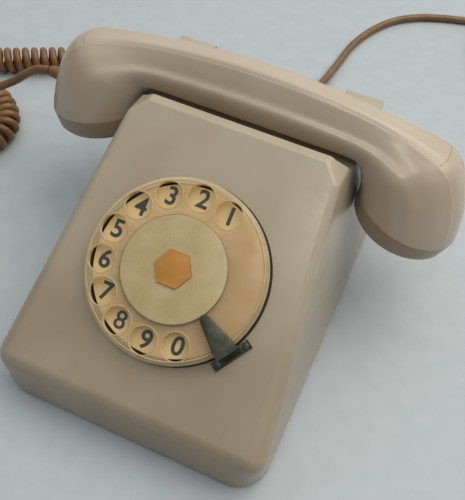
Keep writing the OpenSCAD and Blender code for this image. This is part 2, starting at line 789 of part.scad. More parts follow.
module hook_contacts() {
    color("#c9a45c") {
        for (x = [-8, 0, 8], k = [0, 1])
            translate([x - 1.5, pivot_y - 22, pivot_z - 7.4 + k * 1.6]) cube([3, 24, 0.3]);
        translate([-12, pivot_y - 24, pivot_z - 9]) cube([24, 6, 6]);
        translate([-12, pivot_y - 24, pivot_z - 3]) cube([2, 6, bracket_z - pivot_z + 3]);
        translate([10, pivot_y - 24, pivot_z - 3]) cube([2, 6, bracket_z - pivot_z + 3]);
        translate([-12, pivot_y - 24, bracket_z]) cube([24, 20.4, 1.6]);
    }
}

module hook_plungers() {
    color("#d8d2c0") for (s = [-1, 1]) translate([s * hook_x, hook_y, bar_z + bar_h])
        rotate_extrude()
            polygon([[0, 0], [plunger_r, 0], [plunger_r, plunger_z - bar_z - bar_h - 1.2],
                [plunger_r - 1.2, plunger_z - bar_z - bar_h], [0, plunger_z - bar_z - bar_h]]);
}

module hook_bar() {
    color("#c9c4b4") translate([-hook_x - 4, hook_y - 2.5, bar_z])
        cube([2 * hook_x + 8, 5, bar_h]);
}

module hook_lever() {
    color("#a9803f") translate([0, pivot_y, pivot_z]) difference() {
        union() {
            translate([-9, -8, -1.5]) cube([18, 26.5, 3]);
            translate([-9, 0, 0]) rotate([0, 90, 0]) cylinder(r = 3, h = 18);
        }
        translate([-10, 0, 0]) rotate([0, 90, 0]) cylinder(r = pivot_r + run_gap, h = 20);
        translate([-10, 2.4, 1.49]) cube([20, 12, 2]);
    }
}

// ---- handset ----

function mix(a, b, t) = a + (b - a) * t;
function back_z(x) = handset_z - arch * pow(x / end_x, 2);
function under(x) = under_z - under_fall * pow(x / 60, 2);

// The plane of a cap's seam, and half the width of the seam circle, at x
function seam_z(x) = cup_z - (abs(x) - cup_x) * tan(cap_tilt);
function seam_half(x) =
    cap_r * sqrt(max(0, 1 - pow((abs(x) - cup_x) / (cap_r * cos(cap_tilt)), 2)));

// Joins the points of one side into a closed section
function both_halves(half, x) = concat([for (p = half) [x, p[0], p[1]]],
    [for (i = [len(half) - 1 : -1 : 0]) [x, -half[i][0], half[i][1]]]);

// The handle's section: back, upper ridge, side and underside; g draws it in
function handle_half(x, g) = let (top = back_z(x) - g, side = handle_w / 2 - g, low = under(x) + g)
    [[seam_w * 0.5, top], [seam_w + 0.6 - g * 0.4, top - 2], [ridge_w - g * 0.8, top - 11],
     [side - 0.6, top - 14 + g / 2], [side, top - 18 + g / 2], [side - 2, low + 2],
     [side - 5, low]];

// A cup's section: the back and ridge as on the handle, then down to the seam circle
function cup_half(x) =
    let (top = back_z(x), foot = [seam_half(x), seam_z(x)], mid = (cup_in + 9 - x) / 9,
         side = handle_w / 2 * max(0, mid))
        [[seam_w * 0.5, top], [seam_w + 0.6, top - 2], [ridge_w, top - 11],
         [max(mix(ridge_w, foot[0], 0.35), side - 0.6), mix(top - 11, foot[1], 0.17)],
         [max(mix(ridge_w, foot[0], 0.75), side), mix(top - 11, foot[1], 0.5)],
         foot, [foot[0] * 0.6, foot[1]]];

// The end wall's section: it falls from the back to the seam circle
function end_half(x) =
    let (t = (x - end_x) / (cup_out - end_x), round_t = 0.45 * t + 0.55 * (1 - sqrt(1 - t * t)),
         top = mix(back_z(end_x) - 2, seam_z(cup_out), round_t),
         edge = ridge_w * (1 - 0.8 * t) - 1, foot = [seam_half(x), seam_z(x)],
         fall = 9 * (1 - t))
        [[min(edge, foot[0]) * 0.4, top], [min(edge, foot[0]) * 0.6, top - fall * 0.12],
         [min(edge, foot[0] * 0.9), top - fall],
         [mix(min(edge, foot[0] * 0.9), foot[0], 0.35), mix(top - fall, foot[1], 0.3)],
         [mix(min(edge, foot[0] * 0.9), foot[0], 0.75), mix(top - fall, foot[1], 0.65)],
         foot, [foot[0] * 0.6, foot[1]]];

function half_section(x) = x < cup_in ? handle_half(x, 0) : x <= end_x ? cup_half(x) : end_half(x);

// Sections along one side: even steps on the handle, closer ones round the cup
end_angle = acos((cup_x - end_x) / (cap_r * cos(cap_tilt)));
stations = concat([for (i = [0 : 6]) (cup_in - 1.5) * i / 6],
    [for (i = [0 : 8]) cup_x - cap_r * cos(cap_tilt) * cos(max(4, end_angle * i / 8))],
    [for (i = [1 : 6]) cup_x - cap_r * cos(cap_tilt) * cos(mix(end_angle, 175, i / 6))]);

// A closed solid through sections that all have the same number of points
module loft(sections) {
    n = len(sections) - 1;
    m = len(sections[0]);
    walls = [for (i = [0 : n - 1], k = [0 : m - 1])
        let (a = i * m + k, b = i * m + (k + 1) % m) [a, b, b + m, a + m]];
    caps = [[for (k = [m - 1 : -1 : 0]) k], [for (k = [0 : m - 1]) n * m + k]];
    translate([0, handset_y, 0])
        polyhedron([for (s = sections) each s], concat(walls, caps), convexity = 6);
}

// Leans its children back into the cradle, about the middle of the handle's back
module in_cradle() {
    translate([0, handset_y, handset_z]) rotate([-lean_back, 0, 0])
        translate([0, -handset_y, -handset_z]) children();
}

module handset_form() {
    last = len(stations) - 1;
    loft([for (i = [-last : last])
        let (x = stations[abs(i)]) both_halves(half_section(x), sign(i) * x)]);
}

// The hollow along the handle, for the wires
module handle_hollow() {
    l = cup_in + 14;
    loft([for (i = [-8 : 8]) both_halves(handle_half(abs(i) * l / 8, 3), i * l / 8)]);
}

// A strip along the handle's back: half width, depth below the back and end position
module back_strip(w, depth, l, rise) {
    n = 20;
    top = concat([for (i = [0 : n]) let (x = -l + 2 * l * i / n) [x, back_z(x) + rise]],
        [for (i = [n : -1 : 0]) let (x = -l + 2 * l * i / n) [x, back_z(x) - depth]]);
    translate([0, handset_y + w, 0]) rotate([90, 0, 0]) linear_extrude(2 * w) polygon(top);
}

module at_cup(s) {
    translate([s * cup_x, cup_y, cup_z]) rotate([0, s * cap_tilt, 0]) children();
}

module handset_body() {
    color("#b3aa98") in_cradle() difference() {
        handset_form();
        back_strip(seam_w + 0.15, 2.65, end_x - 2, 10);
        handle_hollow();
        for (s = [-1, 1]) at_cup(s) {
            translate([0, 0, -1]) cylinder(r = lip_r + 0.3, h = 4.1);
            translate([0, 0, 3]) cylinder(r1 = lip_r - 3, r2 = 7, h = 15);
        }
        for (s = [-1, 1]) translate([s * (cup_x - 5), cup_y, cup_z]) cylinder(r = 8, h = 24);
        translate([-handset_l, handset_y, gland_z]) rotate([0, 90, 0])
            cylinder(r = strand_d / 2 + 0.6, h = handset_l - cup_x + 8);
    }
}

module handset_cover() {
    color("#c6bba7") in_cradle() intersection() {
        handset_form();
        back_strip(seam_w, 2.5, end_x - 2.2, 10);
    }
}

module cap(s, rings) {
    in_cradle() at_cup(s) difference() {
        rotate_extrude($fn = 72)
            polygon([[0, -cap_h], [cap_r - 6.5, -cap_h], [cap_r - 3.6, -cap_h + 0.8],
                [cap_r - 1.6, -cap_h + 3.2], [cap_r, -0.15], [lip_r, -0.15],
                [lip_r, 2.5], [lip_r - 1.4, 2.5], [lip_r - 1.4, -cap_h + 2.4],
                [0, -cap_h + 2.4]]);
        for (k = rings) for (i = [0 : max(1, 6 * k) - 1])
            rotate([0, 0, 360 * i / max(1, 6 * k)]) translate([k * 4.2, 0, -cap_h - 1])
                cylinder(r = 0.9, h = 5, $fn = 16);
    }
}

module ear_cap() {
    color("#a3937c") cap(-1, [0, 1, 2]);
}

module mouth_cap() {
    color("#a3937c") cap(1, [0, 1, 2, 3]);
}

module capsule(s, h) {
    in_cradle() at_cup(s) translate([0, 0, -cap_h + 2.5]) difference() {
        cylinder(r = capsule_r - 0.3, h = h);
        translate([0, 0, -1]) cylinder(r = capsule_r - 3, h = 2);
        for (i = [0 : 5]) rotate([0, 0, 60 * i]) translate([8, 0, -1])
            cylinder(r = 1.5, h = h);
    }
}

module ear_capsule() {
    color("#b8bbb9") capsule(-1, 9);
}

module mouth_capsule() {
    color("#8f9396") capsule(1, 10);
}

module handset_gland() {
    color("#8a7050") in_cradle() translate([lead_end_x, handset_y, gland_z]) rotate([0, 90, 0])
        union() {
            cylinder(r1 = strand_d / 2 + 0.5, r2 = strand_d / 2 + 1.6, h = 7.2);
            cylinder(r = strand_d / 2 + 0.5, h = 16);
        }
}

// ---- cords ----

module gland(x, z, d) {
    translate([x, half_d - wall - 2, z]) rotate([-90, 0, 0]) {
        cylinder(r1 = d - 0.4, r2 = d * 0.62, h = line_y0 - half_d + wall + 2);
    }
}

module line_gland() {
    color("#7a5f3f") gland(0, 13, line_d);
}

module handset_cord_gland() {
    color("#8a7050") gland(tail_x, 12, strand_d);
}

module line_cord() {
    color("#7a5f3f") tube(line_route, line_d, 4, 10);
}

module line_cord_coil() {
    w = coil_rows * line_d / 2;
    color("#7a5f3f") translate([coil_c[0], coil_c[1], 0]) rotate_extrude($fn = 72)
        polygon([[coil_mid - w + 1, 0.2], [coil_mid + w - 1, 0.2], [coil_mid + w, 1.2],
            [coil_mid + w, 2 * w - 1], [coil_mid + w - 1, 2 * w], [coil_mid - w + 1, 2 * w],
            [coil_mid - w, 2 * w - 1], [coil_mid - w, 1.2]]);
}

module line_cord_end() {
    color("#7a5f3f") tube(end_route, line_d, 3, 10);
}

module line_plug() {
    color("#6b5238") translate([plug_p[0], plug_p[1], 0]) {
        translate([-12, -34, 0]) cube([24, 30, 20]);
        translate([-7, -5, 0]) cube([14, 5, 9]);
        for (x = [-6, 6]) translate([x, -44, 10]) rotate([-90, 0, 0])
            cylinder(r = 1.6, h = 12);
    }
}

module handset_cord_tail() {
    color("#8a7050") tube(tail_route, strand_d, 4, 10);
}

module handset_cord_curl() {
    color("#8a7050") tube(curl_route, curl_d, 3, 12);
}

module handset_cord_lead() {
    color("#8a7050") tube(lead_route, strand_d, 3, 10);
}

// ---- drawing ----

base_plate();
rubber_feet();
housing();
housing_screws();
dial_case();
number_plate();
finger_stop();
finger_stop_screws();
dial_frame();
dial_frame_screws();
governor_cup();
return_spring();
pulse_contacts();
ringer_frame();
ringer_coils();
gong_left();
gong_right();
gong_screws();
circuit_board();
board_standoffs();
transformer();
capacitor();
resistors();
terminal_block();
terminal_screws();
hook_bracket();
hook_pin();
hook_contacts();
finger_wheel();
label_card();
label_cover();
hub_cap();
hub_screw();
dial_shaft();
main_gear();
pulse_cam();
worm_wheel_shaft();
governor_shaft();
governor_weights();
handset_body();
handset_cover();
ear_cap();
mouth_cap();
ear_capsule();
mouth_capsule();
handset_gland();
hook_plungers();
hook_bar();
hook_lever();
clapper();
line_gland();
handset_cord_gland();
line_cord();
line_cord_coil();
line_cord_end();
line_plug();
handset_cord_tail();
handset_cord_curl();
handset_cord_lead();
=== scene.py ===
# %% [markdown]
# # A rotary telephone, dressed for its portrait
# The measured frame comes first. Every piece below is made in metres in the same frame,
# and rides on one of its bodies.

# %% The frame
import bpy
import bmesh
import math
from mathutils import Matrix, Vector


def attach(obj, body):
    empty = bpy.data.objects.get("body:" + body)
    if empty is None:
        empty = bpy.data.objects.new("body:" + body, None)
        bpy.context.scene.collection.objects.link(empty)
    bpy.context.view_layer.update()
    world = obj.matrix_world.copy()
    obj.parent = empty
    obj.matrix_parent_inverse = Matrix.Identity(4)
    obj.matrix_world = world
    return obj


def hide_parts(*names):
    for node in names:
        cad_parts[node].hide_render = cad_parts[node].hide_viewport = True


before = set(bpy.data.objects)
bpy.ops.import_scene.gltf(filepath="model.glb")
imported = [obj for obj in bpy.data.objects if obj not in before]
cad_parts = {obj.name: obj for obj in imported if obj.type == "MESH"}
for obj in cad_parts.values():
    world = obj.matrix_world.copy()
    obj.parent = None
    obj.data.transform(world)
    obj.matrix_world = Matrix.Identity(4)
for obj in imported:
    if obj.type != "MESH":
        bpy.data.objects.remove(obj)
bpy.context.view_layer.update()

scene = bpy.context.scene
print("frame with", len(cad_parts), "nodes")

# %% Lengths and the face's own axes
MM = 0.001
FACE_Y0, FACE_Y1, RIDGE_Z, TOP_Z = -96.8, 26.7, 30.0, 100.8
FACE_ANGLE = math.atan2(TOP_Z - RIDGE_Z, FACE_Y1 - FACE_Y0)
FACE_LENGTH = math.hypot(TOP_Z - RIDGE_Z, FACE_Y1 - FACE_Y0)
DIAL_UP = 0.489 * FACE_LENGTH
DIAL_Y = FACE_Y0 + DIAL_UP * math.cos(FACE_ANGLE)
DIAL_Z = RIDGE_Z + DIAL_UP * math.sin(FACE_ANGLE)
LEAN_BACK = Matrix.Rotation(FACE_ANGLE, 4, "X")
DIAL = Matrix.Translation(Vector((0, DIAL_Y, DIAL_Z)) * MM) @ LEAN_BACK


def on_dial(u, v, w):
    """A point given in millimetres across, up and out of the face."""
    return DIAL @ Vector((u * MM, v * MM, w * MM))


print("the face slopes", round(math.degrees(FACE_ANGLE), 1), "degrees")

# %% [markdown]
# ## The camera
# A hand-held look down at the desk from in front and a little to the right. The lens is the
# moderate one of a telephone camera, so near edges spread and the far end narrows.

# %% The camera
camera_data = bpy.data.cameras.new("camera")
camera = bpy.data.objects.new("camera", camera_data)
scene.collection.objects.link(camera)
right = Vector((0.91370842, 0.40301025, 0.0521505))
down = Vector((0.35785356, -0.73715739, -0.57318392))
ahead = Vector((-0.19255587, 0.54238521, -0.81776556))
turn = Matrix((right, -down, -ahead)).transposed().to_4x4()
camera.matrix_world = Matrix.Translation((0.08227, -0.19542, 0.33778)) @ turn
camera_data.sensor_width = 36
camera_data.lens = 50.4
camera_data.clip_start = 0.01
scene.camera = camera
print("camera at", [round(v, 3) for v in camera.location])

# %% [markdown]
# ## Small helpers
# Colours are written as the hex values a paint chart would give. The shader wants linear
# light, so one function turns them. A second one adds a node with its settings and links.
# The others start a material, mix a clear layer into one, set an object in the scene and
# close a ring of swept sections.

# %% Colour, node and mesh helpers


def paint(code):
    """An sRGB hex colour as linear red, green, blue, alpha."""
    parts = [int(code[i:i + 2], 16) / 255 for i in (1, 3, 5)]
    return [p / 12.92 if p <= 0.04045 else ((p + 0.055) / 1.055) ** 2.4
            for p in parts] + [1.0]


def add(tree, kind, settings=None, **links):
    """One node: settings are its own properties or socket values, links feed its sockets.
    A colour ramp's stops are (place, linear colour) pairs."""
    made = tree.nodes.new("ShaderNode" + kind)
    for key, value in (settings or {}).items():
        if key == "stops":
            for element, (place, colour) in zip(made.color_ramp.elements, value):
                element.position, element.color = place, colour
        elif isinstance(key, str) and hasattr(made, key):
            setattr(made, key, value)
        else:
            made.inputs[key].default_value = value
    for key, source in links.items():
        made_key = int(key[1:]) if key[0] == "_" else key.replace("_", " ")
        tree.links.new(source, made.inputs[made_key])
    return made


def fresh(name):
    """An empty material with its output and a principled shader."""
    made = bpy.data.materials.new(name)
    made.use_nodes = True
    tree = made.node_tree
    tree.nodes.clear()
    out = add(tree, "OutputMaterial")
    shader = add(tree, "BsdfPrincipled")
    tree.links.new(shader.outputs[0], out.inputs[0])
    return made, tree, shader


def see_through(tree, body, share):
    """Mixes the shader body with a clear layer; share is the body's part, or a socket."""
    clear = add(tree, "BsdfTransparent", {"Color": paint("#FBF1DC")})
    layer = add(tree, "MixShader", _1=clear.outputs[0], _2=body.outputs[0])
    if isinstance(share, float):
        layer.inputs[0].default_value = share
    else:
        tree.links.new(share, layer.inputs[0])
    out = next(n for n in tree.nodes if n.type == "OUTPUT_MATERIAL")
    tree.links.new(layer.outputs[0], out.inputs[0])


def placed(name, data):
    """An object of this data, set in the scene."""
    made = bpy.data.objects.new(name, data)
    scene.collection.objects.link(made)
    return made


def mesh_from(name, build, smooth=True):
    """An object made of a bmesh, which is freed."""
    mesh = bpy.data.meshes.new(name)
    build.to_mesh(mesh)
    build.free()
    for polygon in mesh.polygons:
        polygon.use_smooth = smooth
    return placed(name, mesh)


def close_ring(build, loops):
    """Faces between each section of a ring and the next, round to the first."""
    for near, far in zip(loops, loops[1:] + loops[:1]):
        for j in range(len(near)):
            k = (j + 1) % len(near)
            build.faces.new((near[j], far[j], far[k], near[k]))


# %% [markdown]
# ## The cords
# They settle how far the model spreads, so they come before anything else. The line cord is
# a round vinyl lead that leaves the back, runs along the table and is wound up at its far
# end. The handset cord is wound on a mandrel when it is made: a helix of thin lead whose
# turns nearly touch. Each is drawn as a curve with a round bevel and then kept as the mesh
# of its surface. Its length is measured along the points of its centreline.

# %% Routes


def smooth_route(points, steps):
    """Catmull-Rom points through the given ones, the same rule as the frame's tubes."""
    made = []
    for i in range(len(points) - 1):
        a, b = Vector(points[max(i - 1, 0)]), Vector(points[i])
        c, d = Vector(points[i + 1]), Vector(points[min(i + 2, len(points) - 1)])
        for j in range(steps):
            t = j / steps
            made.append(0.5 * (2 * b + (c - a) * t + (2 * a - 5 * b + 4 * c - d) * t * t
                               + (3 * b - a - 3 * c + d) * t * t * t))
    made.append(Vector(points[-1]))
    return made


def length_of(points):
    return sum((b - a).length for a, b in zip(points, points[1:]))


def even(points, gap):
    """The same line with its points a fixed distance apart."""
    total = length_of(points)
    count = max(2, round(total / gap))
    made, at, run = [], 0, 0.0
    for i in range(count):
        want = total * i / count
        while at < len(points) - 2 and run + (points[at + 1] - points[at]).length < want:
            run += (points[at + 1] - points[at]).length
            at += 1
        step = (points[at + 1] - points[at]).length
        made.append(points[at].lerp(points[at + 1], (want - run) / step if step else 0))
    return made + [points[-1]]


def as_mesh(name, data):
    """The surface of a curve or a figure, as a mesh object of its own."""
    source = placed(name, data)
    mesh = bpy.data.meshes.new_from_object(source.evaluated_get(
        bpy.context.evaluated_depsgraph_get()))
    bpy.data.objects.remove(source)
    mesh.name = name
    for polygon in mesh.polygons:
        polygon.use_smooth = True
    return placed(name, mesh)


def cord_curve(name, points, diameter, sides=4):
    """A round lead along points in millimetres."""
    data = bpy.data.curves.new(name, "CURVE")
    data.dimensions = "3D"
    data.bevel_depth = diameter / 2 * MM
    data.bevel_resolution = sides
    data.use_fill_caps = True
    spline = data.splines.new("POLY")
    spline.points.add(len(points) - 1)
    for place, point in zip(spline.points, points):
        place.co = (point * MM).to_4d()
    return as_mesh(name, data)


LINE_D, STRAND_D, CURL_D = 5.2, 5.0, 17.0
BEND_STEPS, POINT_GAP = 6, 4    # points per stretch of a route, and the even gap in mm
GLAND_END_Y, TAIL_X = 122.5, -44.0

# %% [markdown]
# The line cord is wound as a careful person does it: three turns side by side on the table,
# three more on top of them, and a last one lying in the outer groove. Then it drops off the
# coil and runs to its plug.

# %% The line cord
line_points = [(0, GLAND_END_Y, 13), (0, GLAND_END_Y + 20, 12), (2, 168, 9.5), (4, 190, 6),
               (6, 214, 3.2), (9, 238, 2.8), (17, 261, 2.8), (29, 280, 2.8), (45, 293, 2.8),
               (62, 301, 2.8), (80, 307, 2.8), (98, 314, 2.8), (114, 320, 2.8)]
COIL_X, COIL_Y, TURN_POINTS = 130.0, 288.0, 36
# Each entry is a turn's radius and height; a turn shifts over to the next one's at its end.
turns = [(33.8, 2.8), (28.6, 2.8), (23.4, 2.8), (23.4, 7.8), (28.6, 7.8), (33.8, 7.8)]


def wound(turns, start_angle, last_turn):
    """Turns of a coil: each holds its own radius, and shifts over during its last quarter."""
    made = []
    for k, (radius, height) in enumerate(turns):
        nxt = turns[min(k + 1, len(turns) - 1)]
        span = 1.0 if k < len(turns) - 1 else last_turn
        for i in range(int(TURN_POINTS * span)):
            share = i / TURN_POINTS
            shift = max(0.0, (share - 0.75) / 0.25) if k < len(turns) - 1 else 0.0
            shift = shift * shift * (3 - 2 * shift)
            r = radius + (nxt[0] - radius) * shift
            z = height + (nxt[1] - height) * shift
            angle = math.radians(start_angle - 360 * share)
            made.append(Vector((COIL_X + r * math.cos(angle),
                                COIL_Y + r * math.sin(angle), z)))
    return made


coil_points = wound(turns + [(31.2, 12.6)], 90, 0.9)
end_points = [Vector(p) for p in ((149, 319, 12), (161, 311, 8.4), (168.5, 298, 4.2),
                                  (170, 284, 2.8), (170.5, 270, 2.8), (170, 258, 3.2),
                                  (170, 250, 4))]
line_route = smooth_route([*line_points, *coil_points[1::3], *end_points], BEND_STEPS)
line_path = even(line_route, POINT_GAP)
line_cord = cord_curve("line_cord_lead", line_path, LINE_D)
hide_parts("line_cord", "line_cord_coil", "line_cord_end")
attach(line_cord, "telephone")
print("line cord is", round(length_of(line_path)), "mm long")

# %% [markdown]
# The curled cord's helix is carried along its route on a frame that turns as little as it
# can, so the turns stay even through the bends. At both ends the last turns open out and
# the lead runs straight into its gland.

# %% The handset cord
tail_points = [(TAIL_X, GLAND_END_Y, 12), (TAIL_X - 1, GLAND_END_Y + 8, 10.5),
               (TAIL_X - 6, 138, 9), (TAIL_X - 16, 146, 8.5)]
curl_points = [(-60, 146, 8.5), (-80, 150, 8.5), (-105, 148, 8.5), (-135, 138, 8.5),
               (-160, 124, 8.5), (-182, 112, 8.5), (-205, 100, 8.5), (-226, 93, 8.5),
               (-246, 94, 8.5), (-262, 86, 8.5), (-264, 68, 8.5), (-250, 56, 8.5),
               (-232, 58, 8.5), (-212, 68, 8.5), (-194, 70, 8.5), (-176, 62, 8.5),
               (-165, 47, 8.5), (-168, 30, 8.5), (-182, 18, 8.5), (-202, 14, 8.5),
               (-218, 22, 8.5)]
lead_points = [(-218, 22, 8.5), (-224, 31, 9), (-222, 42, 11), (-212, 49, 15), (-196, 52, 22),
               (-178, 52, 31), (-163, 51, 41), (-150, 50.5, 51), (-140, 50.2, 60.3),
               (-131, 50, 67), (-122.3, 49.9, 69.6)]
CURL_PITCH, CURL_STEPS, OPEN_OUT = 6.1, 16, 14


def curled(route, pitch, radius, start, stop):
    """A helix round a route; its radius grows from nothing and shrinks again at the ends."""
    route = even(route, 1.0)
    total = length_of(route)
    side = (route[1] - route[0]).normalized().cross(Vector((0, 0, 1))).normalized()
    made = []
    count = int(total / pitch * CURL_STEPS)
    for i in range(count + 1):
        s = total * i / count
        at = min(len(route) - 2, int(s / total * (len(route) - 1)))
        new = (route[at + 1] - route[at]).normalized()
        side = (side - new * side.dot(new)).normalized()
        up = new.cross(side)
        place = route[at].lerp(route[at + 1], s / total * (len(route) - 1) - at)
        r = radius * min(1.0, s / start, (total - s) / stop)
        angle = 2 * math.pi * i / CURL_STEPS
        made.append(place + side * (r * math.cos(angle)) + up * (r * math.sin(angle)))
    return made


helix = curled(smooth_route(curl_points, BEND_STEPS), CURL_PITCH,
               (CURL_D - STRAND_D) / 2, OPEN_OUT, OPEN_OUT)
tail = even(smooth_route(tail_points, BEND_STEPS), POINT_GAP)
lead = even(smooth_route(lead_points, BEND_STEPS), POINT_GAP)
curl_path = tail[:-1] + helix + lead[1:]
handset_cord = cord_curve("handset_cord_strand", curl_path, STRAND_D, 3)
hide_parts("handset_cord_tail", "handset_cord_curl", "handset_cord_lead")
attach(handset_cord, "telephone")
print("handset cord is", round(length_of(curl_path)), "mm long")

# %% [markdown]
# ## Materials
# Each is named for what the real piece is made of, or for the shade painted into it.

# %% [markdown]
# ### Moulded ABS
# The housing, handset and caps are injection-moulded ABS. It is polished by its mould, has
# an index of about 1.53 and a faint orange-peel from cooling, and decades of light have
# turned it unevenly warmer. Fine scuffs break up its gloss.

# %% Moulded ABS


def moulded_abs(name, base, warm, gloss=0.3, dirt="#6E6454", darker_below=None):
    """Polished ABS: base is its own colour, warm the yellowed one. Below a given height, in
    metres, the warm colour takes over as painted shade, and higher up the base colour takes
    over as painted light."""
    made, tree, shader = fresh(name)
    place = add(tree, "TexCoord").outputs["Object"]
    # Yellowing follows the light and hands of years: patches a few centimetres wide.
    patch = add(tree, "TexNoise", {"Scale": 22, "Detail": 3, "Roughness": 0.5}, Vector=place)
    share = patch.outputs["Fac"]
    # Painted shade and light: low on the piece the colour is pushed warm and dark, and from 80
    # mm higher it is pushed light.
    if darker_below:
        height = add(tree, "SeparateXYZ", Vector=place).outputs["Z"]
        painted_height_shade = add(tree, "MapRange", {"From Min": darker_below, "From Max": darker_below + 0.08,
                                      "To Min": 0.24, "To Max": -0.16}, Value=height)
        share = add(tree, "Math", {"operation": "ADD"}, _0=share,
                    _1=painted_height_shade.outputs["Result"]).outputs[0]
    blend = add(tree, "ValToRGB", {"stops": [(0.28, paint(base)), (0.75, paint(warm))]},
                _0=share)
    # Specks of dust and grime, under a millimetre.
    speck = add(tree, "TexNoise", {"Scale": 1400, "Detail": 2, "Roughness": 0.6}, Vector=place)
    mark = add(tree, "ValToRGB", {"stops": [(0.72, (0, 0, 0, 1)),
                                            (0.84, (0.3, 0.3, 0.3, 1))]},
               _0=speck.outputs["Fac"])
    grime = add(tree, "Mix", {"data_type": "RGBA", 7: paint(dirt)},
                _0=mark.outputs["Color"], _6=blend.outputs["Color"])
    tree.links.new(grime.outputs[2], shader.inputs["Base Color"])
    # Scuffs: hair-fine, a few millimetres long.
    scuff = add(tree, "TexNoise", {"Scale": 260, "Detail": 4, "Distortion": 1.5}, Vector=place)
    rough = add(tree, "MapRange", {"From Min": 0.3, "From Max": 0.7, "To Min": gloss - 0.03,
                                   "To Max": gloss + 0.05}, Value=scuff.outputs["Fac"])
    tree.links.new(rough.outputs["Result"], shader.inputs["Roughness"])
    peel = add(tree, "TexNoise", {"Scale": 420, "Detail": 2}, Vector=place)
    bump = add(tree, "Bump", {"Strength": 0.012, "Distance": 0.0003},
               Height=peel.outputs["Fac"])
    tree.links.new(bump.outputs["Normal"], shader.inputs["Normal"])
    shader.inputs["IOR"].default_value = 1.53
    return made


housing_abs = moulded_abs("housing_abs", "#B1A68F", "#A09079", 0.22, darker_below=0.022)
handset_abs = moulded_abs("handset_abs", "#BFB09B", "#B6A48D", 0.22)
# The caps take a darker copy of the handset's ABS: painted shade for their sides that face down
# and to the front.
cap_abs_painted_shade = moulded_abs("cap_abs_painted_shade", "#A3907A", "#97826B", 0.30)
print("ABS finishes made")


# %% [markdown]
# ### Yellowed acrylic
# The finger wheel is clear acrylic, index 1.49, that has gone amber. It is thin, so it is
# drawn as a gloss over a tinted see-through layer: the plate behind stays lit, as it is in
# life, where light comes round and through the wheel from all sides.

# %% Yellowed acrylic
wheel_acrylic, tree, shader = fresh("yellowed_acrylic")
place = add(tree, "TexCoord").outputs["Object"]
haze = add(tree, "TexNoise", {"Scale": 180, "Detail": 3}, Vector=place)
tint = add(tree, "ValToRGB", {"stops": [(0.3, paint("#F0E2C2")), (0.7, paint("#E8D5B0"))]},
           _0=haze.outputs["Fac"])
tree.links.new(tint.outputs["Color"], shader.inputs["Base Color"])
shader.inputs["IOR"].default_value = 1.49
shader.inputs["Roughness"].default_value = 0.12
edge = add(tree, "LayerWeight", {"Blend": 0.35})
body = add(tree, "MapRange", {"From Min": 0.0, "From Max": 0.7, "To Min": 0.26,
                              "To Max": 0.78}, Value=edge.outputs["Facing"])
see_through(tree, shader, body.outputs["Result"])
print("acrylic made")

# %% [markdown]
# ### Metals, rubber, vinyl and the rest
# One function covers the plain finishes: a base colour that drifts a little, a roughness
# that a noise breaks up, and a bump of the right grain size.

# %% Plain finishes


def finish(name, base, other, rough, grain, metal=0.0, bump=0.08, spread=0.08, ior=1.5):
    """grain is the size of the finish's own texture in millimetres."""
    made, tree, shader = fresh(name)
    place = add(tree, "TexCoord").outputs["Object"]
    drift = add(tree, "TexNoise", {"Scale": 90, "Detail": 3}, Vector=place)
    tone = add(tree, "ValToRGB", {"stops": [(0.35, paint(base)), (0.65, paint(other))]},
               _0=drift.outputs["Fac"])
    tree.links.new(tone.outputs["Color"], shader.inputs["Base Color"])
    fine = add(tree, "TexNoise", {"Scale": 1000 / grain, "Detail": 2}, Vector=place)
    level = add(tree, "MapRange", {"From Min": 0.3, "From Max": 0.7,
                                   "To Min": max(0.02, rough - spread),
                                   "To Max": rough + spread}, Value=fine.outputs["Fac"])
    tree.links.new(level.outputs["Result"], shader.inputs["Roughness"])
    relief = add(tree, "Bump", {"Strength": bump, "Distance": grain * MM * 0.2},
                 Height=fine.outputs["Fac"])
    tree.links.new(relief.outputs["Normal"], shader.inputs["Normal"])
    shader.inputs["Metallic"].default_value = metal
    if metal == 0:
        shader.inputs["IOR"].default_value = ior
    return made


plate_abs = finish("number_plate_abs", "#E6CC9A", "#DEC088", 0.38, 0.6)
case_bakelite = finish("dial_case_bakelite", "#4A3C2A", "#3E3122", 0.45, 0.8)
card_paper = finish("card_paper", "#CBC49E", "#C2BA92", 0.8, 0.15, bump=0.2)
hub_acrylic = finish("hub_amber_acrylic", "#C48A40", "#B67C36", 0.22, 1.5, bump=0.03, ior=1.49)
digit_ink = finish("digit_ink", "#464C44", "#3C423B", 0.5, 0.1)
cord_vinyl = finish("curled_cord_vinyl", "#865F38", "#734F2E", 0.38, 0.5, bump=0.1)
line_vinyl = finish("line_cord_vinyl", "#7E5E38", "#6E502E", 0.4, 0.5, bump=0.1)
foot_rubber = finish("foot_rubber", "#34322F", "#2B2927", 0.8, 0.5, bump=0.2)
zinc_steel = finish("zinc_plated_steel", "#A9ABA8", "#999B98", 0.35, 0.25, metal=1.0, bump=0.15)
spring_brass = finish("spring_brass", "#C2A25C", "#AF8F4C", 0.32, 0.3, metal=1.0, bump=0.1)
board_resin = finish("phenolic_board", "#8A6536", "#7A582E", 0.55, 0.3)
coil_enamel = finish("enamelled_copper_wire", "#8C3B22", "#7A3018", 0.4, 0.2)
dark_nylon = finish("dark_nylon", "#3B3A38", "#32312F", 0.55, 0.4)
pale_nylon = finish("pale_nylon", "#D8D2C0", "#CBC4B0", 0.5, 0.4)
stop_steel = finish("finger_stop_steel", "#5E5E52", "#42423A", 0.27, 2.5, metal=0.9, bump=0.1)
disc_acrylic = finish("label_disc_acrylic", "#C2AE80", "#B7A272", 0.3, 1.0, bump=0.04, ior=1.49)
lip_acrylic = finish("lip_acrylic", "#E8D3A4", "#DCC490", 0.14, 0.8, bump=0.03, ior=1.49)
tree = lip_acrylic.node_tree
see_through(tree, next(n for n in tree.nodes if n.type == "BSDF_PRINCIPLED"), 0.5)
